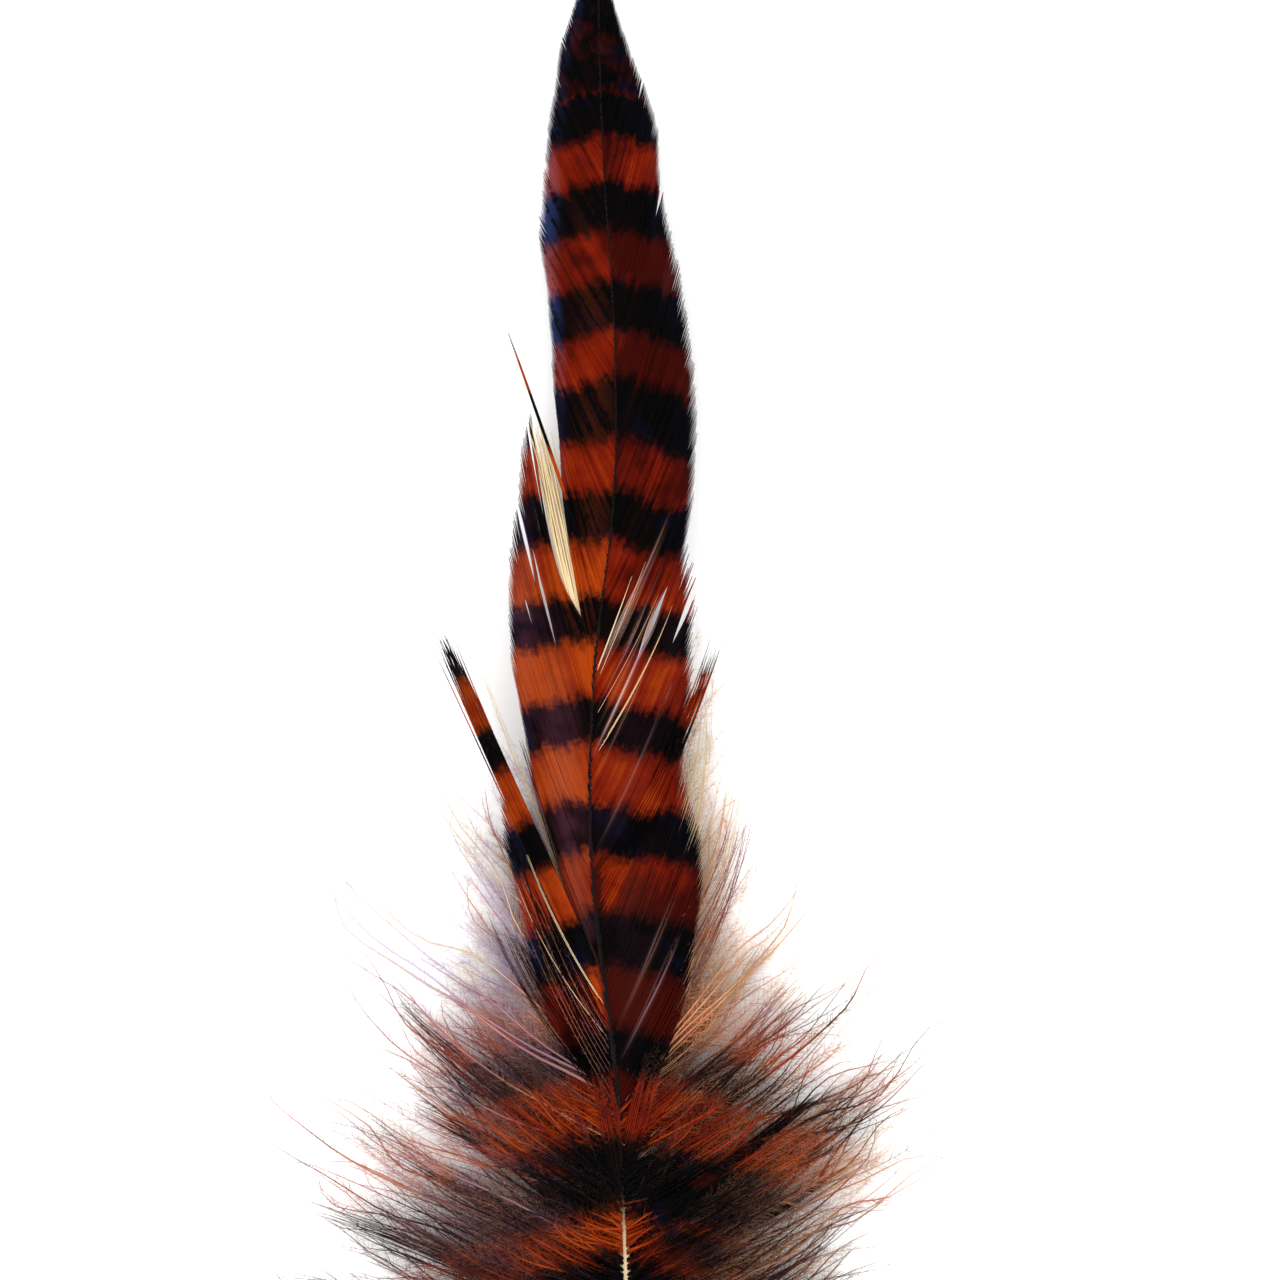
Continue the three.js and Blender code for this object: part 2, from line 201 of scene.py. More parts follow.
# Bundles of barbs that have come away from the vane, and locks that stand out in the down. Each bundle's
# middle runs from its roots' places on the shaft past its bend to its tip. It lies above the vane's sheet by
# its level, or under it by a negative one, and is twice its spread wide. Its barbules are as long as its
# fluff. Thick is the share of a barb's usual thickness. Pale, tone and dusk go from 0 to 1: how pale it is,
# how warm its rust is, and how much of its rust the dark hides. A plain bundle is rust without bars.
BUNDLE_DEFAULTS = dict(thick=1, tone=0.45, dusk=0, plain=False)
BUNDLES = [
    # The lone barb beside the left edge.
    dict(
        roots=(101.3, 101.9), bend=(-9.2, 119), tip=(-13.5, 131, 8), level=0.5, spread=0.14,
        count=4, fluff=0.3, pale=0, tone=0.8,
    ),
    # The barred ribbon on the left, and the pale barbs behind it.
    dict(
        roots=(54.5, 60.5), bend=(-16.2, 87), tip=(-21, 98, 5.2), level=0.6, spread=1.15,
        count=50, fluff=0.5, pale=0, tone=0.75,
    ),
    dict(
        roots=(59, 61), bend=(-13.2, 85), tip=(-16.8, 94.6, 3.6), level=-1.1, spread=0.3,
        count=3, fluff=0.8, pale=0.9, thick=0.5,
    ),
    # Barbs in the gap between the two lower left webs.
    dict(
        roots=(58, 61.5), bend=(-8.2, 74), tip=(-12.2, 87, 4.6), level=-0.25, spread=0.8,
        count=12, fluff=0.6, pale=0.1,
    ),
    # The frayed lock at the right edge.
    dict(
        roots=(66, 71), bend=(4.5, 83), tip=(9.4, 97.5, 6), level=0.5, spread=0.8,
        count=20, fluff=0.5, pale=0, tone=0.62,
    ),
    dict(
        roots=(67.5, 70), bend=(5.2, 84), tip=(8, 95.8, 5.6), level=0.4, spread=0.3,
        count=4, fluff=0.5, pale=0,
    ),
    # The pale barbs in the wedge between the two left webs, and under the right edge.
    dict(
        roots=(92.2, 93.6), bend=(-7.7, 108), tip=(-10.8, 122, 4.6), level=-0.5, spread=1.5,
        count=26, fluff=0.3, pale=1, thick=1.4,
    ),
    dict(
        roots=(46, 68), bend=(8.2, 75), tip=(8.3, 93, 2.6), level=-1.3, spread=1.2,
        count=11, fluff=1.4, pale=1, thick=0.6,
    ),
    dict(
        roots=(44, 58), bend=(9.2, 66), tip=(11.2, 84, 2.4), level=-1.3, spread=1.8,
        count=9, fluff=1.7, pale=0.72, thick=0.6,
    ),
    dict(
        roots=(45, 56), bend=(9.4, 64), tip=(13.2, 80, 2.4), level=-0.8, spread=2.2,
        count=13, fluff=1.1, pale=0.2, thick=0.5, plain=True,
    ),
    # Single pale barbs that lie on the vane.
    dict(
        roots=(93.4, 93.6), bend=(-1.9, 99), tip=(0, 104.4, 6.9), level=0.2, spread=0.06,
        count=2, fluff=0.1, pale=1, thick=0.5,
    ),
    dict(
        roots=(92.2, 92.3), bend=(-1.2, 99), tip=(1.5, 106, 6.7), level=0.2, spread=0.03,
        count=1, fluff=0.1, pale=0.72, thick=0.5,
    ),
    dict(
        roots=(88.5, 88.6), bend=(-0.4, 95), tip=(2.9, 102.4, 6.5), level=0.2, spread=0.03,
        count=1, fluff=0.1, pale=0.65, thick=0.4,
    ),
    dict(
        roots=(84, 84.2), bend=(1.6, 93.4), tip=(4.4, 101.2, 6), level=0.2, spread=0.06,
        count=2, fluff=0.1, pale=0.72, thick=0.6,
    ),
    dict(
        roots=(56.8, 57), bend=(-9, 66), tip=(-12.8, 77.5, 5), level=0.6, spread=0.1,
        count=2, fluff=0.2, pale=1, thick=0.4,
    ),
    dict(
        roots=(53.4, 53.6), bend=(-9.6, 62), tip=(-12.9, 71.5, 4.6), level=0.6, spread=0.1,
        count=1, fluff=0.2, pale=1, thick=0.4,
    ),
    # Dark barbs that lie loose over the left web's base.
    dict(
        roots=(47, 57), bend=(-9.4, 64), tip=(-12.6, 77, 5), level=0.5, spread=1.8,
        count=16, fluff=0.6, pale=0, thick=0.7, dusk=1,
    ),
    dict(
        roots=(45, 52), bend=(-9.5, 56), tip=(-14.5, 67, 4.5), level=0.5, spread=2,
        count=16, fluff=1, pale=0, thick=0.7, dusk=0.9,
    ),
    dict(
        roots=(46, 54), bend=(-8, 60), tip=(-12, 70, 5), level=0.6, spread=2,
        count=9, fluff=0.6, pale=0.25, thick=0.45,
    ),
    # Dark locks in the down.
    dict(
        roots=(30, 33.5), bend=(10, 39), tip=(20.8, 48, 7.2), level=3.6, spread=0.9,
        count=26, fluff=0.9, pale=0, dusk=1, thick=1.3,
    ),
    dict(
        roots=(24, 27), bend=(10, 35), tip=(24.5, 43, 4.5), level=1.2, spread=1,
        count=12, fluff=1.2, pale=0.1,
    ),
    dict(
        roots=(36.5, 40), bend=(-12, 45), tip=(-27.4, 59, 4.5), level=0.8, spread=0.7,
        count=6, fluff=1, pale=0.1, dusk=0.8, thick=0.8,
    ),
    dict(
        roots=(38, 41), bend=(-13, 44), tip=(-24.6, 55, 4), level=0.4, spread=0.8,
        count=8, fluff=1, pale=0.1,
    ),
    dict(
        roots=(19, 24), bend=(-15, 27), tip=(-37.2, 35.6, 3.5), level=1.8, spread=2,
        count=14, fluff=1.2, pale=0, dusk=0.8, thick=0.7,
    ),
    dict(
        roots=(24, 28), bend=(-12, 32), tip=(-30, 43.5, 4.5), level=1, spread=1.2,
        count=8, fluff=1.2, pale=0.1, dusk=0.5, thick=0.8,
    ),
    # A dense warm tuft on the left.
    dict(
        roots=(30, 37), bend=(-11, 39.5), tip=(-23.5, 45.5, 4), level=1.2, spread=2.2,
        count=24, fluff=1.7, pale=0.1,
    ),
    # Pale tufts at the down's outer edge.
    dict(
        roots=(32, 38), bend=(-12, 40), tip=(-25.5, 51, 3), level=0, spread=2.4,
        count=14, fluff=1.8, pale=0.6,
    ),
    dict(
        roots=(38, 43), bend=(9, 49), tip=(19.5, 60.5, 3), level=0, spread=2.2,
        count=12, fluff=1.8, pale=0.6,
    ),
    dict(
        roots=(21, 27), bend=(13, 33), tip=(29, 42.5, 3), level=0, spread=2.4,
        count=14, fluff=1.8, pale=0.75,
    ),
    # Short down that lies forward over the shaft.
    dict(
        roots=(36.5, 42), bend=(1, 46), tip=(2.8, 53.5, 6.6), level=0.7, spread=1.5,
        count=20, fluff=1.1, pale=0.05,
    ),
    dict(
        roots=(33, 38), bend=(-2, 43), tip=(-3.6, 51, 6.6), level=0.7, spread=1.5,
        count=20, fluff=1.1, pale=0.05,
    ),
    dict(
        roots=(29, 34), bend=(-4, 38), tip=(-6.5, 46.5, 6.4), level=0.6, spread=1.2,
        count=12, fluff=1.2, pale=0.1,
    ),
    dict(
        roots=(29, 34), bend=(2.6, 38), tip=(5, 45, 6.4), level=0.6, spread=1.2,
        count=12, fluff=1.2, pale=0.1,
    ),
]

# The down's long locks on each side, from the vane's base to the quill: [root y, tip x, tip y, half width].
LEFT_DOWN = np.array([
    [59, -17.8, 79.8, 1.2],
    [55.5, -22.8, 84, 0.7],
    [52, -20, 73.5, 1.4],
    [48, -36.5, 73, 0.9],
    [44.5, -22.8, 57.8, 1.5],
    [41.5, -35.2, 66.8, 0.9],
    [38, -27.4, 58.9, 1.5],
    [34, -28.3, 50.7, 1.5],
    [30, -38.7, 49, 0.9],
    [27, -31.6, 43.5, 1.6],
    [23, -39.8, 41.9, 1.1],
    [20, -37.3, 35.3, 1.6],
    [16.5, -42.8, 29.6, 1.1],
    [13.5, -36.5, 28, 1.6],
    [11.3, -38.5, 21.5, 1.4],
    [9.4, -32, 16.2, 1.4],
    [7.8, -23.5, 11.8, 1.1],
])
RIGHT_DOWN = np.array([
    [58.5, 9.9, 80.9, 1.1],
    [54.5, 12.8, 80.4, 0.8],
    [51, 11.9, 70.5, 1.3],
    [48.5, 21.8, 73.2, 0.8],
    [45.5, 13.6, 62.5, 1.4],
    [42, 26.2, 62.2, 1.2],
    [38, 23.4, 55.6, 1.5],
    [33.5, 34.4, 54, 1.3],
    [30, 31.7, 50.1, 1.5],
    [26.5, 29.5, 46.4, 1.6],
    [22.5, 34.4, 40.2, 0.9],
    [19.5, 28.4, 37.5, 1.6],
    [16, 27, 31, 1.6],
    [13.3, 32.5, 26.5, 1.3],
    [11.2, 31.5, 20.5, 1.4],
    [9.4, 26.5, 15.6, 1.4],
    [7.8, 19.5, 11.4, 1.1],
])

# Where the pale mist of the finest barbs ends on each side: [root y, tip x, tip y, half width].
LEFT_MIST = np.array([
    [68, -14.2, 92, 1.2],
    [62, -17.5, 86, 1.2],
    [56, -20.5, 79.5, 1.2],
    [50, -24, 71, 1.2],
    [44, -28, 63, 1.2],
    [36, -32.5, 52, 1.2],
    [26, -37, 42, 1.2],
    [16, -39, 31, 1.2],
    [8.6, -32, 17, 1.2],
])
RIGHT_MIST = np.array([
    [70, 8.6, 97, 1.2],
    [64, 9.4, 90, 1.2],
    [58, 11.5, 82, 1.2],
    [52, 14, 74, 1.2],
    [46, 20, 66.5, 1.2],
    [40, 26.5, 59, 1.2],
    [30, 31.5, 48.5, 1.2],
    [20, 32.5, 36, 1.2],
    [12, 31, 24, 1.2],
    [8.6, 24, 14, 1.2],
])

# The layers of the down on each side, from the lowest: how many barbs fan out, how many hairs each lock has,
# the share of the fan that begins high up, how far the barbs reach, how much they rise, their thickness, how
# pale they are at the root and at the tip, and the spacing and length of their barbules.
DOWN_LAYERS = {
    "mist": dict(
        fan=140, hairs=0, high=0.28, reach=(0.6, 1.0), lift=0.25, thick=0.6,
        pale=(0.5, 0.9), spacing=0.36, length=2.5,
    ),
    "lower": dict(
        fan=230, hairs=3, high=0.08, reach=(0.3, 0.95), lift=0, thick=1.6,
        pale=(0.0, 0.38), spacing=0.44, length=1.9,
    ),
    "upper": dict(
        fan=250, hairs=1, high=0, reach=(0.16, 0.85), lift=1, thick=1.3,
        pale=(0.0, 0.18), spacing=0.4, length=1.6,
    ),
}

# The number of points along each downy barb and each loose one.
DOWN_STEPS = 16

# The barbs that begin high up start past this place on the shaft. Below it, the upper layer starts on top of
# the shaft. Past the vane's base no barb rises.
HIGH_ROOTS = 46
VANE_BASE = 50

# How far the upper layer's barbs rise at their bend, how high a tip lies with the whole rise and without any,
# and the lowest place of any barb's middle.
UPPER_BEND_RISE = 6.5
UPPER_TIP_HEIGHT = 7.5
LOWER_TIP_HEIGHT = 0.5
DOWN_LOWEST = 0.15

# A downy barb sways by up to this much across, along and up at its tip, and turns over about this distance.
SWAY = (2.0, 2.0, 0.6)
SWAY_STEP = 8

# Half the width of a downy barb and of a loose one, at shares of its length.
DOWN_TAPER = ([0, 0.15, 0.5, 0.8, 1], [0.13, 0.12, 0.075, 0.035, 0.012])
LOOSE_TAPER = ([0, 0.5, 0.85, 1], [0.09, 0.08, 0.055, 0.015])

# Where the dark bars and the rust ones between them change along the shaft, from the quill to the tip.
# The first stretch is dark.
BAR_EDGES = [
    -10, 0.5, 6.5, 12.5, 19, 30.3, 34.4, 43.5, 50.2, 55, 61.7, 67.7, 74.1, 79.8, 86.2, 91.1, 97.4, 102.4,
    108.4, 114.2, 119.7, 126.6, 131.5, 137.2, 142.7, 148.2, 153, 158.5, 162.9, 200,
]

# The count in the middle of a rust bar.
RUST = 1.5

# How warm the rust is along the vane: 0 is dark red and 1 is orange.
WARMTH_PLACES = [45, 60, 68, 75, 95, 108, 118, 128, 140, 155]
WARMTH = [0.2, 0.32, 0.5, 0.8, 0.95, 0.75, 0.6, 0.42, 0.32, 0.5]

# How much of a barb's length counts towards its bars' places, at these roots along each side.
SWEEP_ROOTS = [88, 102]
LEFT_SWEEP = [1.003, 1.0]
RIGHT_SWEEP = [0.995, 1.03]

# How strongly the bars arch over the down, and how far out that comes to half of its strength.
ARCH = 0.38
ARCH_START = 6

# The unevenness of the vane's sheet: [height, distance between its turns, seed].
RELIEF = [
    [0.22, 1.3, 6],
    [0.1, 0.45, 9],
]

# The quill's rounded cut end: [y, share of its radius].
QUILL_ROUNDING = np.array([
    [-6, 0.25],
    [-5.9, 0.55],
    [-5.6, 0.85],
    [-5, 1.0],
])

# The shaft's sides, and the groove along its underside: its depth as a share of the radius, and its width.
SHAFT_SIDES = 16
GROOVE_DEPTH = 0.22
GROOVE_WIDTH = 0.35

# What the materials read at each point: the bar's count, the rust's warmth, how pale it is, the barb's own
# fleck, the dusky places without rust, the painted mauve sheen, the brown mottle, and the painted highlight
# along the vane's edge.
VALUES = ("bar", "tone", "pale", "fleck", "dusk", "gloss", "mottle", "edge_highlight")

# The lowest point of any strand, just above the floor.
LOWEST = 0.02

# A strand's underside hangs below its curve by this share of its ridge's height.
STRAND_KEEL = 0.35

# A barbule's base is a triangle with its corners at these angles. None begins past this share of its barb.
BARBULE_CORNERS = (0, 2.1, 4.2)
BARBULES_END = 0.985

# In the map for baking, each strand has a column. Its own corners and those of its barbules lie at these
# places across it, and the barbules' corners at these places along it.
STRAND_ACROSS = np.array([0.3, -0.3, 0])
BARBULE_ACROSS = np.array([-0.1, 0.1, 0, 0.2])
BARBULE_ALONG = np.array([0, 0.001, -0.001, 0.006])


def hill(value, middle, width, power=2):
    """A smooth hill, 1 at its middle and near 0 well past its width. A higher power makes its top flatter."""
    return np.exp(-((value - middle) / width) ** power)


def ramp(value, start, length):
    """Rises from 0 at its start to 1 over its length."""
    return np.clip((value - start) / length, 0, 1)


def unit(vectors):
    """Vectors of the same direction and a length of 1."""
    return vectors / (np.linalg.norm(vectors, axis=-1, keepdims=True) + 1e-9)


def left_of(course):
    """The level direction to the left of each course."""
    return unit(np.stack([-course[..., 1], course[..., 0], 0 * course[..., 0]], axis=-1))


def spline(column, at):
    """A smooth curve through the shaft's knots, read at many places along y."""
    y = SHAFT_KNOTS[:, 0]
    v = SHAFT_KNOTS[:, column]
    slope = np.gradient(v, y)
    slope[1:-1] = (v[2:] - v[:-2]) / (y[2:] - y[:-2])
    i = np.clip(np.searchsorted(y, at) - 1, 0, len(y) - 2)
    span = y[i + 1] - y[i]
    t = (at - y[i]) / span
    rise = v[i + 1] - v[i]
    bend = (slope[i] * span - rise) * (1 - t) - (slope[i + 1] * span - rise) * t
    return v[i] + rise * t + bend * t * (1 - t)


def shaft_point(y):
    """The middle of the shaft at each y."""
    height = spline(HEIGHT, y) + spline(RADIUS, y) * SHAFT_FLAT_SHARE
    return np.stack([spline(ACROSS, y), y, height], axis=-1)


def wander(at, step, seed):
    """Smooth noise from -1 to 1 over a length, with one random value every step."""
    own = np.random.default_rng(seed)
    grid = np.arange(-40, 260, step)
    values = own.uniform(-1, 1, len(grid))
    place = (np.asarray(at, float) - grid[0]) / step
    i = np.clip(place.astype(int), 0, len(grid) - 2)
    t = place - i
    t = t * t * (3 - 2 * t)
    return values[i] * (1 - t) + values[i + 1] * t


def bezier(start, bend, tip, s):
    """Points of many quadratic curves: B starts, bends and tips, and S places or B rows of them."""
    s = np.broadcast_to(s, (len(start), np.shape(s)[-1]))[..., None]
    a, b, c = start[:, None], bend[:, None], tip[:, None]
    return a * (1 - s) ** 2 + b * 2 * s * (1 - s) + c * s ** 2


def vane_height(x, y):
    """The height of the vane's drooping sheet."""
    middle = shaft_point(np.minimum(y, TIP_Y))
    out = np.abs(x - middle[..., 0])
    return middle[..., 2] - VANE_DROOP * out ** 2 / (out + VANE_DROOP_START)


def arc_length(points):
    """The distance along each curve."""
    step = np.linalg.norm(np.diff(points, axis=1), axis=2)
    return np.concatenate([np.zeros((len(points), 1)), np.cumsum(step, axis=1)], axis=1)


def bar_count(place):
    """Counts the bars up to a place on the shaft. After an even count it is dark, after an odd one rust."""
    return np.interp(place, BAR_EDGES, np.arange(len(BAR_EDGES)))


def arched(points):
    """The place along the shaft whose bar reaches each point of the down, because the bars arch there."""
    out = points[..., 0] - spline(ACROSS, np.clip(points[..., 1], QUILL_END, TIP_Y))
    return points[..., 1] + ARCH * out ** 2 / (np.abs(out) + ARCH_START)


class Piece:
    """Collects vertices, faces and their values, and makes one mesh of them."""

    def __init__(self, name):
        self.name = name
        self.points = []
        self.faces = {3: [], 4: []}
        self.values = {value: [] for value in VALUES}
        self.places = []
        self.count = 0

    def add(self, points, faces, values, places):
        """Adds points, faces by their number of corners, the points' values, and their places in the map."""
        self.points.append(points.reshape(-1, 3))
        for corners, index in faces.items():
            self.faces[corners].append(index.reshape(-1, corners) + self.count)
        for name, own in self.values.items():
            own.append(np.broadcast_to(values[name], points.shape[:-1]).reshape(-1))
        self.places.append(places.reshape(-1, 2))
        self.count += points.reshape(-1, 3).shape[0]

    def make(self, material):
        """Makes the mesh, with its values as attributes and its places as a UV map."""
        points = np.concatenate(self.points) * MM
        points[:, 2] = np.maximum(points[:, 2], LOWEST * MM)
        faces = {n: np.concatenate(f) if f else np.zeros((0, n), int) for n, f in self.faces.items()}
        loops = np.concatenate([faces[3].ravel(), faces[4].ravel()])
        sizes = np.concatenate([np.full(len(faces[3]), 3), np.full(len(faces[4]), 4)])
        mesh = bpy.data.meshes.new(self.name)
        mesh.vertices.add(len(points))
        mesh.vertices.foreach_set("co", points.astype(np.float32).ravel())
        mesh.loops.add(len(loops))
        mesh.loops.foreach_set("vertex_index", loops.astype(np.int32))
        mesh.polygons.add(len(sizes))
        mesh.polygons.foreach_set("loop_start", (np.cumsum(sizes) - sizes).astype(np.int32))
        mesh.polygons.foreach_set("use_smooth", np.ones(len(sizes), bool))
        mesh.update(calc_edges=True)
        for name, own in self.values.items():
            layer = mesh.attributes.new(name, "FLOAT", "POINT")
            layer.data.foreach_set("value", np.concatenate(own).astype(np.float32))
        uv = mesh.uv_layers.new(name="OFBake")
        uv.data.foreach_set("uv", np.concatenate(self.places)[loops].astype(np.float32).ravel())
        piece = bpy.data.objects.new(self.name, mesh)
        bpy.context.scene.collection.objects.link(piece)
        mesh.materials.append(material)
        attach(piece, "root")
        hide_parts("feather")
        print(self.name, "triangles", len(faces[3]) + 2 * len(faces[4]))
        return piece


def plain_values(shape, **given):
    """Values for strands of one shape: nought, apart from those given."""
    return {name: np.broadcast_to(given.get(name, 0.0), shape) for name in VALUES}


def add_strands(piece, points, half_width, ridge, values, columns):
    """Adds each curve as a closed three-sided strand with its ridge on top."""
    strands, steps = points.shape[:2]
    side = left_of(np.gradient(points, axis=1))
    up = np.array([0, 0, 1.0])
    low = points - up * (STRAND_KEEL * ridge)[..., None]
    ring = np.stack([
        low + side * half_width[..., None],
        low - side * half_width[..., None],
        points + up * ridge[..., None],
    ], axis=2)
    first = (np.arange(strands)[:, None, None] * steps + np.arange(steps - 1)[None, :, None]) * 3
    k = np.arange(3)[None, None, :]
    n = (k + 1) % 3
    quads = np.stack([first + k, first + n, first + 3 + n, first + 3 + k], axis=-1)
    start = np.arange(strands)[:, None] * steps * 3
    caps = np.concatenate([start + [0, 2, 1], start + (steps - 1) * 3 + [0, 1, 2]])
    s = np.broadcast_to(np.linspace(0.002, 0.998, steps)[None, :, None], (strands, steps, 3))
    across = columns[0] + (np.arange(strands)[:, None, None] + 0.5 + STRAND_ACROSS) * columns[1]
    places = np.stack([np.broadcast_to(across, s.shape), s], axis=-1)
    values = {name: np.broadcast_to(v, (strands, steps))[..., None] for name, v in values.items()}
    piece.add(ring, {4: quads, 3: caps}, values, places)


def add_barbules(piece, points, values, columns, spacing, length, thickness, spread, lift, begin=0.03):
    """Adds fine pointed barbules on both sides of each curve, from where they begin along it."""
    strands, steps = points.shape[:2]
    total = arc_length(points)[:, -1]
    counts = np.maximum(2, (2 * total / spacing).astype(int))
    which = np.repeat(np.arange(strands), counts)
    begin = np.broadcast_to(begin, strands)[which]
    s = begin + (BARBULES_END - begin) * rng.random(len(which))
    place = s * (steps - 1)
    i = np.minimum(place.astype(int), steps - 2)
    t = (place - i)[:, None]
    base = points[which, i] * (1 - t) + points[which, i + 1] * t
    course = unit(points[which, i + 1] - points[which, i])
    side = left_of(course)
    normal = np.cross(course, side)
    roll = rng.normal(0, lift, len(which)) + np.pi * (rng.random(len(which)) < 0.5)
    out = side * np.cos(roll)[:, None] + normal * np.sin(roll)[:, None]
    angle = rng.normal(spread, 0.2, len(which))
    direction = course * np.cos(angle)[:, None] + out * np.sin(angle)[:, None]
    longer = np.interp(s, [0, 0.2, 0.7, 1], [0.7, 1, 0.95, 0.4])
    own = length * rng.uniform(0.55, 1.25, len(which)) * longer
    apex = base + direction * own[:, None]
    a = unit(np.cross(direction, out))
    b = np.cross(direction, a)
    thick = (thickness * np.interp(s, [0, 0.5, 1], [1.6, 1.3, 0.6]))[:, None]
    corners = [base + thick * (a * math.cos(q) + b * math.sin(q)) for q in BARBULE_CORNERS]
    verts = np.stack([*corners, apex], axis=1)
    n = np.arange(len(which))[:, None, None] * 4
    faces = n + np.array([[0, 1, 3], [1, 2, 3], [2, 0, 3], [0, 2, 1]])
    taken = {}
    for name, v in values.items():
        v = np.broadcast_to(v, (strands, steps))
        at_base = v[which, i] * (1 - t[:, 0]) + v[which, i + 1] * t[:, 0]
        taken[name] = np.repeat(at_base[:, None], 4, axis=1)
    paler = np.interp(s, [0.3, 0.75], [0, 0.32])[:, None]
    taken["pale"] = taken["pale"] + paler * np.array([0.4, 0.4, 0.4, 1]) * (1 - taken["pale"])
    across = columns[0] + (which[:, None] + 0.5 + BARBULE_ACROSS) * columns[1]
    along = np.clip(s[:, None] + BARBULE_ALONG, 0.001, 0.999)
    piece.add(verts, {3: faces}, taken, np.stack([across, along], axis=-1))


def side_start(roots, across, above):
    """Where barbs leave the shaft: these shares of its radius across and above its middle."""
    radius = spline(RADIUS, roots)
    return shaft_point(roots) + np.stack([across * radius, 0 * radius, above * radius], axis=-1)


def web_points(keys, side, slits):
    """The barbs of one web, its slits opened: their roots, their places along them, and their points."""
    keys = np.array(keys, float)[::-1]
    roots = np.arange(keys[0, 0], keys[-1, 0], BARB_SPACING)
    roots = roots + rng.normal(0, 0.04, len(roots))
    tip_x = np.interp(roots, keys[:, 0], keys[:, 1])
    tip_y = np.interp(roots, keys[:, 0], keys[:, 2])
    start = np.stack([spline(ACROSS, roots) + 0.25 * side * spline(RADIUS, roots), roots], axis=1)
    tip = np.stack([tip_x, tip_y], axis=1)
    below_wedge = np.exp((roots - WEDGE_ROOT) / WEDGE_REACH) * (side < 0 and keys[-1, 0] < WEDGE_ROOT)
    out_share = BARB_OUT + WEDGE_BOW * below_wedge
    bend = start + (tip - start) * np.stack([out_share, np.full(len(roots), BARB_ALONG)], axis=1)
    # The tips are uneven, and frayed around one place on the right.
    fray = 0.006 + 0.012 * (1 + side) * hill(roots, 78, 7)
    reach = 1 + 0.012 * wander(roots, 1.1, 5) + fray * rng.normal(0, 1, len(roots))
    s = np.linspace(0, 1, BARB_STEPS)[None, :] * reach[:, None]
    flat = bezier(start, bend, tip, s)
    flat[..., 0] += WEDGE_CLOSING * below_wedge[:, None] * hill(s, WEDGE_CLOSING_AT, WEDGE_CLOSING_WIDTH)
    course = np.gradient(flat, axis=1)
    across = np.stack([-course[..., 1], course[..., 0]], axis=-1) * side
    across /= np.linalg.norm(across, axis=2, keepdims=True)
    for at, begins, ends, width in slits:
        if keys[0, 0] < at < keys[-1, 0]:
            opening = np.sin(np.pi * ramp(s, begins, ends - begins)) ** 0.8
            away = (roots - at)[:, None]
            apart = np.sign(away) * width * opening * np.exp(-np.abs(away) / SLIT_SPREAD)
            flat += across * apart[..., None]
    x, y = flat[..., 0], flat[..., 1]
    z = vane_height(x, y)
    hump = np.sin(np.pi * np.clip(s, 0, 1))
    for height, step, seed in RELIEF:
        z = z + height * wander(roots, step, seed + side)[:, None] * hump
    z = z + 0.05 * rng.uniform(-1, 1, len(roots))[:, None]
    off = np.abs(x - spline(ACROSS, roots)[:, None])
    z = z + 0.75 * spline(RADIUS, roots)[:, None] * hill(off, 0, 0.6)
    return roots, s, np.stack([x, y, z], axis=2)


def vane_values(roots, s, length, side, slits):
    """What the material reads at each point of a web's barbs."""
    at = roots[:, None]
    sweep = np.interp(at, SWEEP_ROOTS, LEFT_SWEEP if side < 0 else RIGHT_SWEEP)
    place = at + 0.45 * wander(roots, 1.6, 21 + side)[:, None] + sweep * length
    warmth = np.interp(place, WARMTH_PLACES, WARMTH)
    redder = np.interp(place, [145, 152], [0.42, 0.12]) if side > 0 else 0.05
    # Beside the inner slits on the right, the barbs are painted pale: a painted highlight along each slit.
    inner_slits = [slit for slit in slits if slit[1] < 0.7 and side > 0]
    slit_highlight = sum(np.exp(-np.abs(at - root) / 0.35) * width for root, _, _, width in inner_slits)
    # A painted mauve sheen across the web's middle, and near its edge lower down. Both it and the real brown
    # mottle are strong on the left side only.
    gloss = hill(at, 68, 16, 4) * hill(s, 0.33, 0.27)
    gloss = np.maximum(gloss, 0.8 * hill(at, 77, 7) * hill(s, 0.8, 0.2))
    mottle = hill(at, 111, 32, 4) * hill(s, 0.28, 0.27)
    sheen_and_mottle = 0.9 if side < 0 else 0.12
    own_fleck = rng.normal(0, 0.1, (len(roots), 1))
    return {
        "bar": bar_count(place),
        "tone": warmth - redder + 0.12 * wander(roots, 5, 31 + side)[:, None],
        "pale": np.clip(2.4 * slit_highlight * np.sin(np.pi * np.clip(s * 1.3, 0, 1)), 0, 0.8),
        "fleck": 0.5 + 0.35 * wander(roots, 0.9, 51 + side)[:, None] + own_fleck,
        "dusk": ramp(place, 156.5, 2),
        "gloss": sheen_and_mottle * gloss,
        "mottle": sheen_and_mottle * mottle,
        # A painted highlight along the vane's outer edge, mostly on the left.
        "edge_highlight": ramp(s, 0.72, 0.28) * (0.25 + 0.9 * hill(at, 126, 13, 4)) * (1 if side < 0 else 0.1),
    }


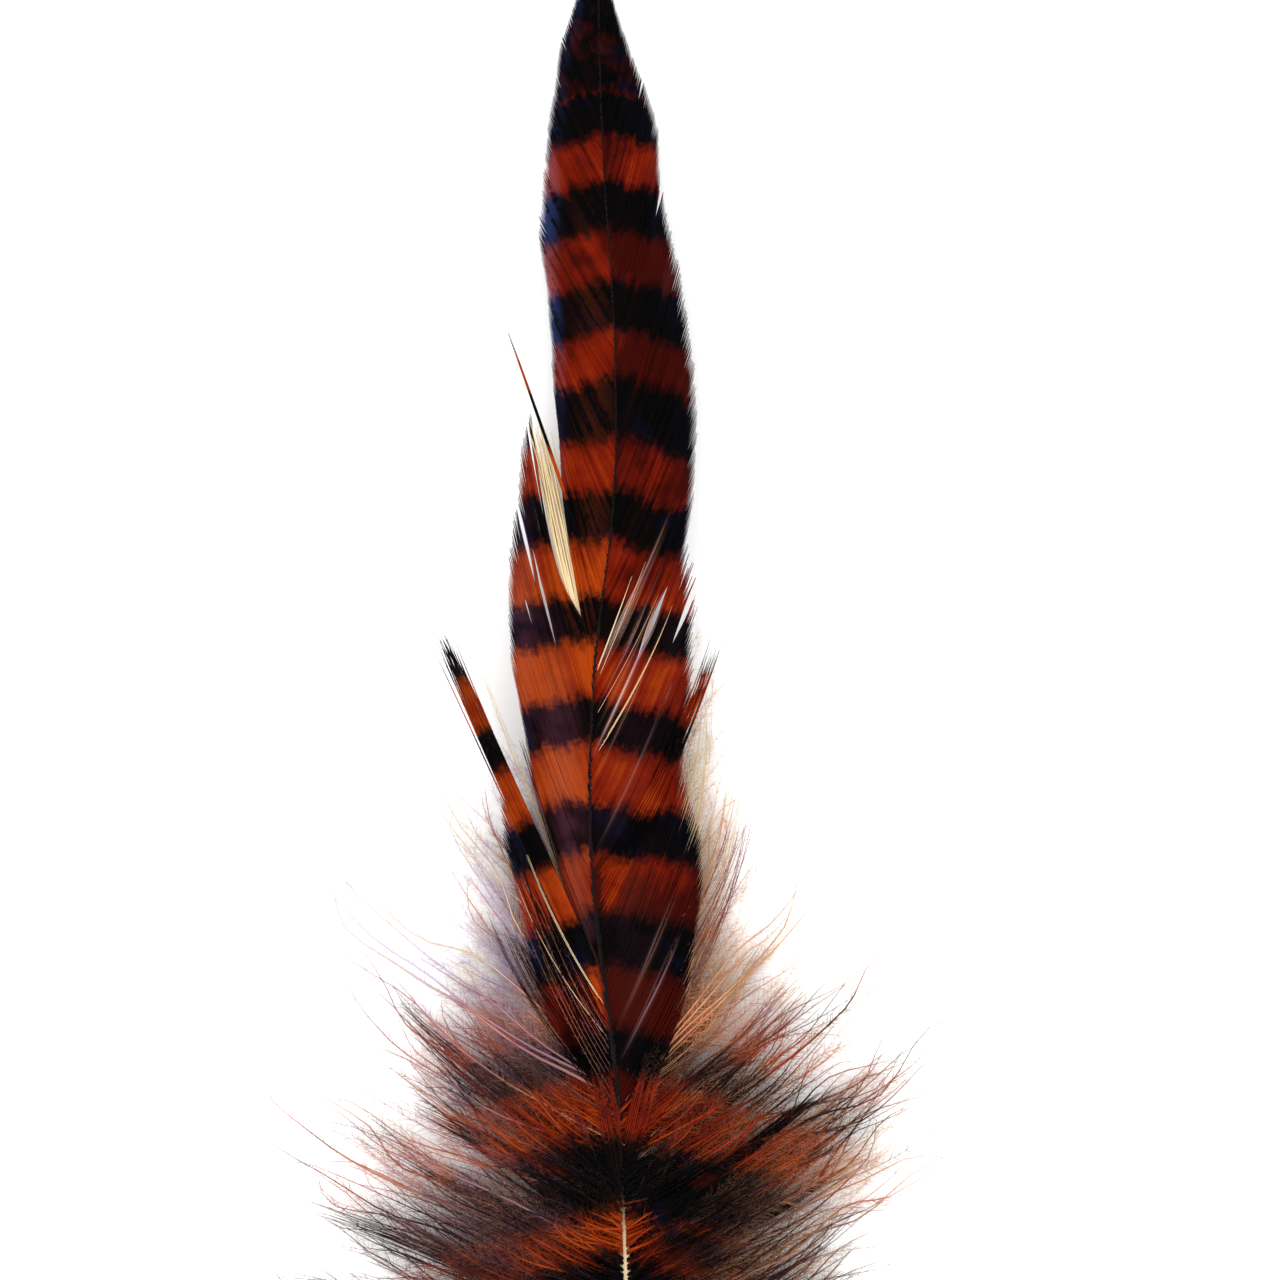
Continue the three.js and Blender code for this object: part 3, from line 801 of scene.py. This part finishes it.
def vane(name, webs, side, slits, material):
    """One side of the vane."""
    piece = Piece(name)
    made = [web_points(keys, side, slits) for keys in webs]
    total = sum(len(roots) for roots, _, _ in made)
    done = 0
    for roots, s, points in made:
        beside = np.gradient(points, axis=0)
        course = np.gradient(points, axis=1)
        normal = unit(np.stack([-course[..., 1], course[..., 0]], axis=-1))
        # Each barb overlaps its neighbours, within limits, and narrows at its tip.
        gap = np.abs((beside[..., :2] * normal).sum(axis=2))
        half = np.clip(0.8 * gap, 0.05, 0.15)
        half[:, -3:] *= np.array([0.85, 0.6, 0.25])
        values = vane_values(roots, s, arc_length(points), side, slits)
        columns = (done / total, 1 / total)
        add_strands(piece, points, half, 0.55 * half + 0.02, values, columns)
        first = BARB_STEPS * 3 // 4
        tail = {key: np.broadcast_to(v, points.shape[:2])[:, first:] for key, v in values.items()}
        add_barbules(
            piece, points[:, first:], tail, columns,
            spacing=0.65, length=0.3, thickness=0.018, spread=0.5, lift=0.5,
        )
        done += len(roots)
    return piece.make(material)


def bundle_points(b, roots, s):
    """The curves of one bundle's barbs."""
    count = len(roots)
    side = 1 if b["tip"][0] > b["bend"][0] - 0.5 else -1
    start = side_start(roots, 0.35 * side, 0.85 if b["level"] > 0 else -0.5)
    order = -side * np.linspace(-1, 1, count)
    aside = np.stack([order, 0 * order, 0 * order], axis=1) * b["spread"]
    bend = np.array([*b["bend"], 0]) + aside
    shorter = rng.uniform(0, 0.28, count)[:, None] * (b["spread"] > 0.2)
    tip = np.array(b["tip"]) + 0.4 * aside + rng.normal(0, 0.35 * b["spread"], (count, 3))
    tip = tip + (bend - tip) * shorter
    points = bezier(start, bend, tip, s)
    sheet = vane_height(points[..., 0], points[..., 1]) + b["level"] * np.minimum(1, 4 * s)
    points[..., 2] = sheet + (tip[:, None, 2] - sheet) * s ** 3 + rng.normal(0, 0.06, (count, 1))
    return points


def bundles(material):
    """The barbs that have come away from the vane, and the locks that stand out in the down."""
    piece = Piece("loose_barbs")
    total = sum(b["count"] for b in BUNDLES)
    done = 0
    s = np.linspace(0, 1, DOWN_STEPS)
    for given in BUNDLES:
        b = {**BUNDLE_DEFAULTS, **given}
        count = b["count"]
        roots = np.linspace(*b["roots"], count)
        points = bundle_points(b, roots, s)
        shape = points.shape[:2]
        half = np.broadcast_to(b["thick"] * np.interp(s, *LOOSE_TAPER), shape)
        values = plain_values(
            shape,
            bar=RUST if b["plain"] else bar_count(roots[:, None] + 1.02 * arc_length(points)),
            tone=b["tone"],
            pale=b["pale"],
            fleck=rng.uniform(0.2, 0.8, (count, 1)) + 0.6 * (b["pale"] > 0.7),
            dusk=b["dusk"],
        )
        columns = (done / total, 1 / total)
        add_strands(piece, points, half, half, values, columns)
        add_barbules(
            piece, points, values, columns,
            spacing=0.85, length=b["fluff"], thickness=0.017, spread=0.6, lift=0.4,
        )
        done += count
    return piece.make(material)


def down_roots(locks, layer):
    """Where one layer's barbs leave the shaft: those that fan out, and then the hairs along the locks."""
    fan = layer["fan"]
    hairs = layer["hairs"] * len(locks)
    highest = locks[-1, 0] + 2
    even_roots = rng.uniform(locks[0, 0] - 0.4, highest, fan)
    high_roots = rng.uniform(HIGH_ROOTS, highest, fan)
    return np.concatenate([
        np.where(rng.random(fan) < layer["high"], high_roots, even_roots),
        np.repeat(locks[:, 0], layer["hairs"]) + rng.normal(0, 0.7, hairs),
    ])


def down_goals(locks, layer, roots):
    """Where each barb would end at its full reach. The fan's barbs gather towards the locks."""
    fan = layer["fan"]
    fan_roots = roots[:fan]
    middle = spline(ACROSS, locks[:, 0])
    fuller = np.interp(locks[:, 3], [0.9, 1.2], [0.62, 0.97])
    outline_x = middle + (locks[:, 1] - middle) * fuller
    outline_y = locks[:, 0] + (locks[:, 2] - locks[:, 0]) * fuller
    nearest = np.abs(fan_roots[:, None] - locks[None, :, 0]).argmin(axis=1)
    even = np.stack([np.interp(fan_roots, locks[:, 0], v) for v in (outline_x, outline_y)], axis=1)
    own = np.stack([outline_x[nearest], outline_y[nearest] + fan_roots - locks[nearest, 0]], axis=1)
    gather = rng.uniform(0.3, 1.0, fan)[:, None]
    return np.concatenate([
        even * (1 - gather) + own * gather + rng.normal(0, 2.1, (fan, 2)),
        np.repeat(locks[:, 1:3], layer["hairs"], axis=0) + rng.normal(0, 0.9, (len(roots) - fan, 2)),
    ])


def down_points(locks, side, layer, roots, s):
    """The curves of one layer's barbs."""
    fan = layer["fan"]
    count = len(roots)
    goal = down_goals(locks, layer, roots)
    near, far = layer["reach"]
    reach = np.concatenate([
        near + (far - near) * rng.random(fan) ** 0.6,
        rng.uniform(0.85, 1.03, count - fan),
    ])
    # The upper layer starts on top of the shaft, and some of it past the middle. The rest starts beside it.
    over = (roots < HIGH_ROOTS) * (layer["lift"] == 1)
    crossing = np.abs(rng.normal(0, 0.5, count)) * ramp(roots, 32, 8)
    start = side_start(roots, side * np.where(over, 0.35 - crossing, 0.8), np.where(over, 0.88, -0.3))
    reach[:fan] *= np.interp(roots[:fan], [38, 48], [1, 0.97 if side > 0 else 0.86])
    across = (goal[:, 0] - start[:, 0]) * reach
    forward = (goal[:, 1] - start[:, 1]) * reach
    lift = layer["lift"] * np.clip((VANE_BASE - roots) / 20, 0, 1) * rng.uniform(0.15, 1, count)
    rise = (UPPER_TIP_HEIGHT - LOWER_TIP_HEIGHT) * lift * reach
    tip_z = LOWER_TIP_HEIGHT + rise + rng.uniform(0, 1.2, count)
    under_vane = np.interp(roots, [38, 50], [0.75, 0.3])
    bend_z = start[:, 2] * under_vane + (UPPER_BEND_RISE + start[:, 2] * 0.25) * lift
    out = rng.normal(0.54, 0.1, count)
    aside = rng.normal(0, 0.9, (2, count))
    bend = np.stack([
        start[:, 0] + across * out + aside[0],
        start[:, 1] + forward * (1 - out) + aside[1],
        bend_z,
    ], axis=1)
    tip = np.stack([start[:, 0] + across, start[:, 1] + forward, tip_z], axis=1)
    points = bezier(start, bend, tip, s)
    length = arc_length(points)
    for k in range(count):
        for axis, size in enumerate(SWAY):
            swaying = wander(length[k] + 7 * (k % 23), SWAY_STEP, 60 + axis + 3 * (k % 19))
            points[k, :, axis] += size * s ** 1.2 * swaying
    points[..., 2] = np.maximum(points[..., 2], DOWN_LOWEST)
    return points


def down_values(locks, side, layer, roots, points, s):
    """What the material reads at each point of a layer's barbs."""
    fan = layer["fan"]
    count = len(roots)
    is_hair = (np.arange(count) >= fan)[:, None]
    thin_lock = np.repeat(locks[:, 3] < 1, layer["hairs"])
    least_pale = np.concatenate([np.zeros(fan), 0.45 * thin_lock])[:, None]
    least_pale = least_pale + 0.45 * np.interp(roots, [41, 50], [0, 1])[:, None] * ramp(s, 0.25, 0.3)
    most_pale = 0.68 if side > 0 else 0.8
    low, high = layer["pale"]
    paleness = low + (high - low) * ramp(s, 0.5, 0.45)
    place = arched(points)
    x = points[..., 0]
    darkened = np.maximum(ramp(x, 1.5, 2), 0.8 * np.clip((-10 - x) / 5, 0, 1))
    bar = bar_count(place + rng.normal(0, 0.5, (count, 1)))
    tone = 0.68 - 0.16 * side + 0.35 * rng.uniform(-1, 1, (count, 1))
    pale = least_pale + paleness * rng.uniform(0.3, 1.1, (count, 1)) * (1 - 0.7 * is_hair)
    fleck = 0.35 + 0.2 * side + rng.uniform(0, 0.5, (count, 1))
    # A painted sheen towards the tips, stronger on the left.
    gloss = ramp(s, 0.3, 0.4) * rng.uniform(0.2, 1, (count, 1)) * (0.65 - 0.25 * side)
    return plain_values(
        points.shape[:2],
        bar=bar,
        tone=tone,
        pale=np.minimum(pale, most_pale),
        fleck=fleck,
        dusk=hill(place, 32.3, 3, 4) * darkened,
        gloss=gloss,
    )


def down(name, locks, side, layer, material):
    """One layer of the down on one side: a fan of soft barbs, and longer hairs along the locks."""
    piece = Piece(name)
    locks = locks[::-1]
    roots = down_roots(locks, layer)
    s = np.linspace(0, 1, DOWN_STEPS)
    points = down_points(locks, side, layer, roots, s)
    slim = layer["thick"] * rng.uniform(0.75, 1.2, (len(roots), 1))
    half = np.interp(s, *DOWN_TAPER) * slim
    values = down_values(locks, side, layer, roots, points, s)
    columns = (0, 1 / len(roots))
    add_strands(piece, points, half, half * 0.9, values, columns)
    add_barbules(
        piece, points, values, columns,
        spacing=layer["spacing"], length=layer["length"], thickness=0.0205, spread=0.75, lift=0.7,
        begin=np.interp(roots, [42, 47], [0.03, 0.34]),
    )
    return piece.make(material)


def shaft(material):
    """The quill and the rachis, round above and grooved below."""
    piece = Piece("shaft")
    y = np.concatenate([QUILL_ROUNDING[:, 0], np.arange(-4, TIP_Y, 1.5), [TIP_Y]])
    middle = shaft_point(y)
    rounding = np.interp(y, QUILL_ROUNDING[:, 0], QUILL_ROUNDING[:, 1])
    radius = rounding * spline(RADIUS, np.maximum(y, QUILL_ROUNDING[-1, 0]))
    angle = np.arange(SHAFT_SIDES) / SHAFT_SIDES * 2 * np.pi
    groove = 1 - GROOVE_DEPTH * hill(angle, np.pi, GROOVE_WIDTH)
    grooved = ramp(y, 8, 20)[:, None]
    ring_radius = radius[:, None] * (1 - grooved * (1 - groove[None, :]))
    ring = np.stack([
        middle[:, None, 0] + ring_radius * np.sin(angle),
        np.broadcast_to(y[:, None], ring_radius.shape),
        middle[:, None, 2] + ring_radius * np.cos(angle) * SHAFT_FLAT_SHARE,
    ], axis=-1)
    steps = len(y)
    first = np.arange(steps - 1)[:, None] * SHAFT_SIDES
    k = np.arange(SHAFT_SIDES)[None, :]
    n = (k + 1) % SHAFT_SIDES
    quads = np.stack([first + k, first + n, first + SHAFT_SIDES + n, first + SHAFT_SIDES + k], axis=-1)
    fan = np.arange(1, SHAFT_SIDES - 1)
    end = (steps - 1) * SHAFT_SIDES
    caps = np.concatenate([
        np.stack([0 * fan, fan + 1, fan], axis=1),
        np.stack([end + 0 * fan, end + fan, end + fan + 1], axis=1),
    ])
    ivory = np.clip((37.5 - y) / 8, 0, 1)[:, None]
    values = plain_values(ring_radius.shape, bar=bar_count(y)[:, None], pale=ivory)
    around = 0.01 + 0.98 * np.arange(SHAFT_SIDES) / SHAFT_SIDES
    along = (y - QUILL_END) / (TIP_Y - QUILL_END)
    places = np.stack(np.broadcast_arrays(around, along[:, None]), axis=-1)
    piece.add(ring, {4: quads, 3: caps}, values, places)
    return piece.make(material)


# The colour sockets of a mix node.
MIX_A = 6
MIX_B = 7
MIX_RESULT = 2


class Nodes:
    """Short ways to build a material's nodes."""

    def __init__(self, name):
        self.material = bpy.data.materials.new(name)
        self.material.use_nodes = True
        self.tree = self.material.node_tree
        self.shader = self.tree.nodes["Principled BSDF"]

    def link(self, value, socket):
        """Links another node's output to a socket, or gives the socket a fixed value."""
        if isinstance(value, bpy.types.NodeSocket):
            self.tree.links.new(value, socket)
        else:
            socket.default_value = value

    def attribute(self, name):
        """A value that the mesh carries at each point."""
        node = self.tree.nodes.new("ShaderNodeAttribute")
        node.attribute_name = name
        return node.outputs["Fac"]

    def math(self, operation, *values):
        node = self.tree.nodes.new("ShaderNodeMath")
        node.operation = operation
        for value, socket in zip(values, node.inputs):
            self.link(value, socket)
        return node.outputs[0]

    def centred(self, value):
        """A value from 0 to 1, moved to lie around 0."""
        return self.math("SUBTRACT", value, 0.5)

    def varied(self, value, by, size):
        """A value, varied by another one around its middle."""
        return self.math("ADD", value, self.math("MULTIPLY", self.centred(by), size))

    def noise(self, scale, detail=3.0, stretch=(1, 1, 1)):
        coordinates = self.tree.nodes.new("ShaderNodeTexCoord")
        mapping = self.tree.nodes.new("ShaderNodeMapping")
        mapping.inputs["Scale"].default_value = stretch
        self.tree.links.new(coordinates.outputs["Object"], mapping.inputs["Vector"])
        node = self.tree.nodes.new("ShaderNodeTexNoise")
        self.tree.links.new(mapping.outputs[0], node.inputs["Vector"])
        node.inputs["Scale"].default_value = scale
        node.inputs["Detail"].default_value = detail
        return node.outputs["Fac"]

    def step(self, value, low, high, to_low=0.0, to_high=1.0):
        """A smooth step between two values."""
        node = self.tree.nodes.new("ShaderNodeMapRange")
        node.interpolation_type = "SMOOTHSTEP"
        self.link(value, node.inputs["Value"])
        self.link(low, node.inputs["From Min"])
        self.link(high, node.inputs["From Max"])
        self.link(to_low, node.inputs["To Min"])
        self.link(to_high, node.inputs["To Max"])
        return node.outputs[0]

    def mix(self, share, a, b):
        node = self.tree.nodes.new("ShaderNodeMix")
        node.data_type = "RGBA"
        self.link(share, node.inputs["Factor"])
        self.link(a, node.inputs[MIX_A])
        self.link(b, node.inputs[MIX_B])
        return node.outputs[MIX_RESULT]

    def bump(self, height, strength, distance):
        node = self.tree.nodes.new("ShaderNodeBump")
        node.inputs["Strength"].default_value = strength
        node.inputs["Distance"].default_value = distance
        self.tree.links.new(height, node.inputs["Height"])
        self.tree.links.new(node.outputs[0], self.shader.inputs["Normal"])


# The colours of the barbs, the shaft and the floor. The pinkish rust and the dusky mauve are a painted sheen,
# the navy a painted bluish sheen, and the blue and mauve edge colours a painted highlight.
DARK_RED = (0.035, 0.0015, 0.0005, 1)
RED = (0.16, 0.0075, 0.0008, 1)
ORANGE = (0.33, 0.042, 0.0025, 1)
SHEEN_PINK_RUST = (0.3, 0.07, 0.035, 1)
BLACK = (0.0005, 0.0003, 0.0005, 1)
PAINTED_SHEEN_NAVY = (0.001, 0.0015, 0.009, 1)
BROWN = (0.03, 0.005, 0.0012, 1)
SHEEN_DUSKY_MAUVE = (0.045, 0.013, 0.022, 1)
BLUE_EDGE_HIGHLIGHT = (0.03, 0.05, 0.16, 1)
MAUVE_EDGE_HIGHLIGHT = (0.3, 0.1, 0.11, 1)
MAUVE = (0.52, 0.27, 0.32, 1)
PEACH = (0.8, 0.38, 0.19, 1)
LAVENDER = (0.66, 0.58, 0.74, 1)
CREAM = (0.72, 0.57, 0.34, 1)
DARK_IVORY = (0.42, 0.3, 0.17, 1)
IVORY = (0.6, 0.48, 0.3, 1)
SHAFT_BLACK = (0.001, 0.0006, 0.0006, 1)
SHAFT_BROWN = (0.006, 0.002, 0.0015, 1)
FLOOR_WHITE = (0.93, 0.93, 0.93, 1)


def barb_material(name, pale_share, sheen):
    """Barred rust and near-black barbs with mottles, flecks, painted sheen, painted edge highlights and pale
    ones among them.
    """
    n = Nodes(name)
    fleck = n.attribute("fleck")
    pale = n.attribute("pale")
    gloss = n.attribute("gloss")
    fine = n.noise(1800, 4)
    broad = n.noise(260, 3)
    patch = n.noise(420, 2)
    grain = n.math("ADD", fine, n.centred(fleck))
    # The bars, with ragged edges, and the dusky places that have no rust.
    shifted = n.varied(n.varied(n.attribute("bar"), fine, 0.4), fleck, 0.14)
    wave = n.math("PINGPONG", n.math("ADD", shifted, 0.5), 1.0)
    dusk = n.math("MULTIPLY", n.attribute("dusk"), n.step(patch, 0.42, 0.62, 1.0, 0.9))
    dark = n.math("MAXIMUM", n.step(wave, 0.3, 0.66), dusk)
    # The rust, from dark red to orange, and pinkish where a sheen is painted on it.
    hue = n.varied(n.varied(n.attribute("tone"), broad, 1.0), fleck, 0.35)
    rust = n.mix(n.step(hue, 0.0, 0.5), DARK_RED, RED)
    rust = n.mix(n.step(hue, 0.4, 1.0), rust, ORANGE)
    rust = n.mix(n.math("MULTIPLY", gloss, 0.45), rust, SHEEN_PINK_RUST)
    # The darks, with navy patches of painted bluish sheen, brown streaks and a painted dusky mauve sheen.
    black = n.mix(n.step(broad, 0.56, 0.8), BLACK, PAINTED_SHEEN_NAVY)
    black = n.mix(n.math("MULTIPLY", n.attribute("mottle"), n.step(grain, 0.3, 0.7)), black, BROWN)
    black = n.mix(n.math("MULTIPLY", gloss, n.step(patch, 0.2, 0.6)), black, SHEEN_DUSKY_MAUVE)
    body = n.mix(dark, rust, black)
    # The vane's edge, with a painted highlight: blue over the darks and mauve over the rust.
    painted_rim = n.math("MULTIPLY", n.attribute("edge_highlight"), n.step(grain, 0.2, 0.6))
    body = n.mix(n.math("MULTIPLY", painted_rim, 0.75), body, n.mix(dark, MAUVE_EDGE_HIGHLIGHT, BLUE_EDGE_HIGHLIGHT))
    # The pale barbs and tips, and the painted highlight beside the vane's inner slits.
    warm = n.step(n.math("ADD", fleck, n.centred(broad)), 0.2, 0.8)
    veil = n.mix(n.step(pale, 0.6, 0.85), n.mix(warm, MAUVE, PEACH), n.mix(warm, LAVENDER, CREAM))
    body = n.mix(n.math("MULTIPLY", n.step(pale, 0.0, 0.9), pale_share), body, veil)
    n.link(body, n.shader.inputs["Base Color"])
    n.link(n.step(fine, 0.2, 0.8, 0.42, 0.68), n.shader.inputs["Roughness"])
    n.shader.inputs["Specular IOR Level"].default_value = 0.03
    n.shader.inputs["Sheen Weight"].default_value = sheen
    n.shader.inputs["Sheen Roughness"].default_value = 0.5
    n.bump(fine, 0.35, 0.00004)
    return n.material


def shaft_material():
    """Ivory keratin with a long grain at the quill, nearly black where the vane is."""
    n = Nodes("quill_keratin")
    pale = n.attribute("pale")
    grain = n.noise(900, 4, (1, 0.06, 1))
    blotch = n.noise(220, 3)
    ivory = n.mix(n.step(grain, 0.3, 0.7), DARK_IVORY, IVORY)
    brown = n.mix(n.step(blotch, 0.35, 0.7), SHAFT_BLACK, SHAFT_BROWN)
    n.link(n.mix(n.step(pale, 0.1, 0.9), brown, ivory), n.shader.inputs["Base Color"])
    n.link(n.step(grain, 0.2, 0.8, 0.28, 0.45), n.shader.inputs["Roughness"])
    n.shader.inputs["Specular IOR Level"].default_value = 0.06
    n.shader.inputs["Coat Weight"].default_value = 0.02
    n.shader.inputs["Coat Roughness"].default_value = 0.3
    n.bump(grain, 0.3, 0.00005)
    return n.material


def floor():
    """A plain pale floor just below the feather."""
    bpy.ops.mesh.primitive_plane_add(size=6, location=(0, STUDIO_MIDDLE, -0.00002))
    plane = bpy.context.object
    plane.name = "floor"
    n = Nodes("pale_floor")
    n.shader.inputs["Base Color"].default_value = FLOOR_WHITE
    n.shader.inputs["Roughness"].default_value = 0.9
    n.shader.inputs["Specular IOR Level"].default_value = 0.1
    plane.data.materials.append(n.material)


def lights():
    """A white surround and four softboxes that look at the feather's middle."""
    world = bpy.data.worlds.new("studio")
    world.use_nodes = True
    world.node_tree.nodes["Background"].inputs["Color"].default_value = (1, 1, 1, 1)
    world.node_tree.nodes["Background"].inputs["Strength"].default_value = 1.2
    bpy.context.scene.world = world
    for azimuth, power in SOFTBOXES:
        a = math.radians(azimuth)
        data = bpy.data.lights.new("softbox", "AREA")
        data.size = SOFTBOX_SIZE
        data.energy = power
        light = bpy.data.objects.new("softbox", data)
        bpy.context.scene.collection.objects.link(light)
        light.location = (
            SOFTBOX_DISTANCE * math.cos(a),
            STUDIO_MIDDLE + SOFTBOX_DISTANCE * math.sin(a),
            SOFTBOX_HEIGHT,
        )
        aim = np.array([0, STUDIO_MIDDLE, 0]) - np.array(light.location)
        light.rotation_euler = (math.acos(-aim[2] / np.linalg.norm(aim)), 0, math.atan2(-aim[0], aim[1]))


def camera():
    """Straight above the feather, framed as the photograph is."""
    data = bpy.data.cameras.new("camera")
    data.lens = LENS
    data.sensor_width = SENSOR
    cam = bpy.data.objects.new("camera", data)
    bpy.context.scene.collection.objects.link(cam)
    distance = FRAME_WIDTH * LENS / SENSOR
    cam.location = (FRAME_CENTRE[0] * MM, FRAME_CENTRE[1] * MM, (distance + FRAME_HEIGHT) * MM)
    bpy.context.scene.camera = cam


camera()
lights()
floor()
bpy.context.scene.view_settings.view_transform = "Standard"

web_material = barb_material("barred_vane", 0.85, 0)
loose_material = barb_material("barred_loose_barbs", 1.0, 0)
fluff_material = barb_material("barred_down", 0.9, 0.01)
shaft(shaft_material())
vane("vane_left", LEFT_WEBS, -1, LEFT_SLITS, web_material)
vane("vane_right", RIGHT_WEBS, 1, RIGHT_SLITS, web_material)
bundles(loose_material)
for side, word, locks, mist in ((-1, "left", LEFT_DOWN, LEFT_MIST), (1, "right", RIGHT_DOWN, RIGHT_MIST)):
    for name, layer in DOWN_LAYERS.items():
        down(f"down_{word}_{name}", mist if name == "mist" else locks, side, layer, fluff_material)
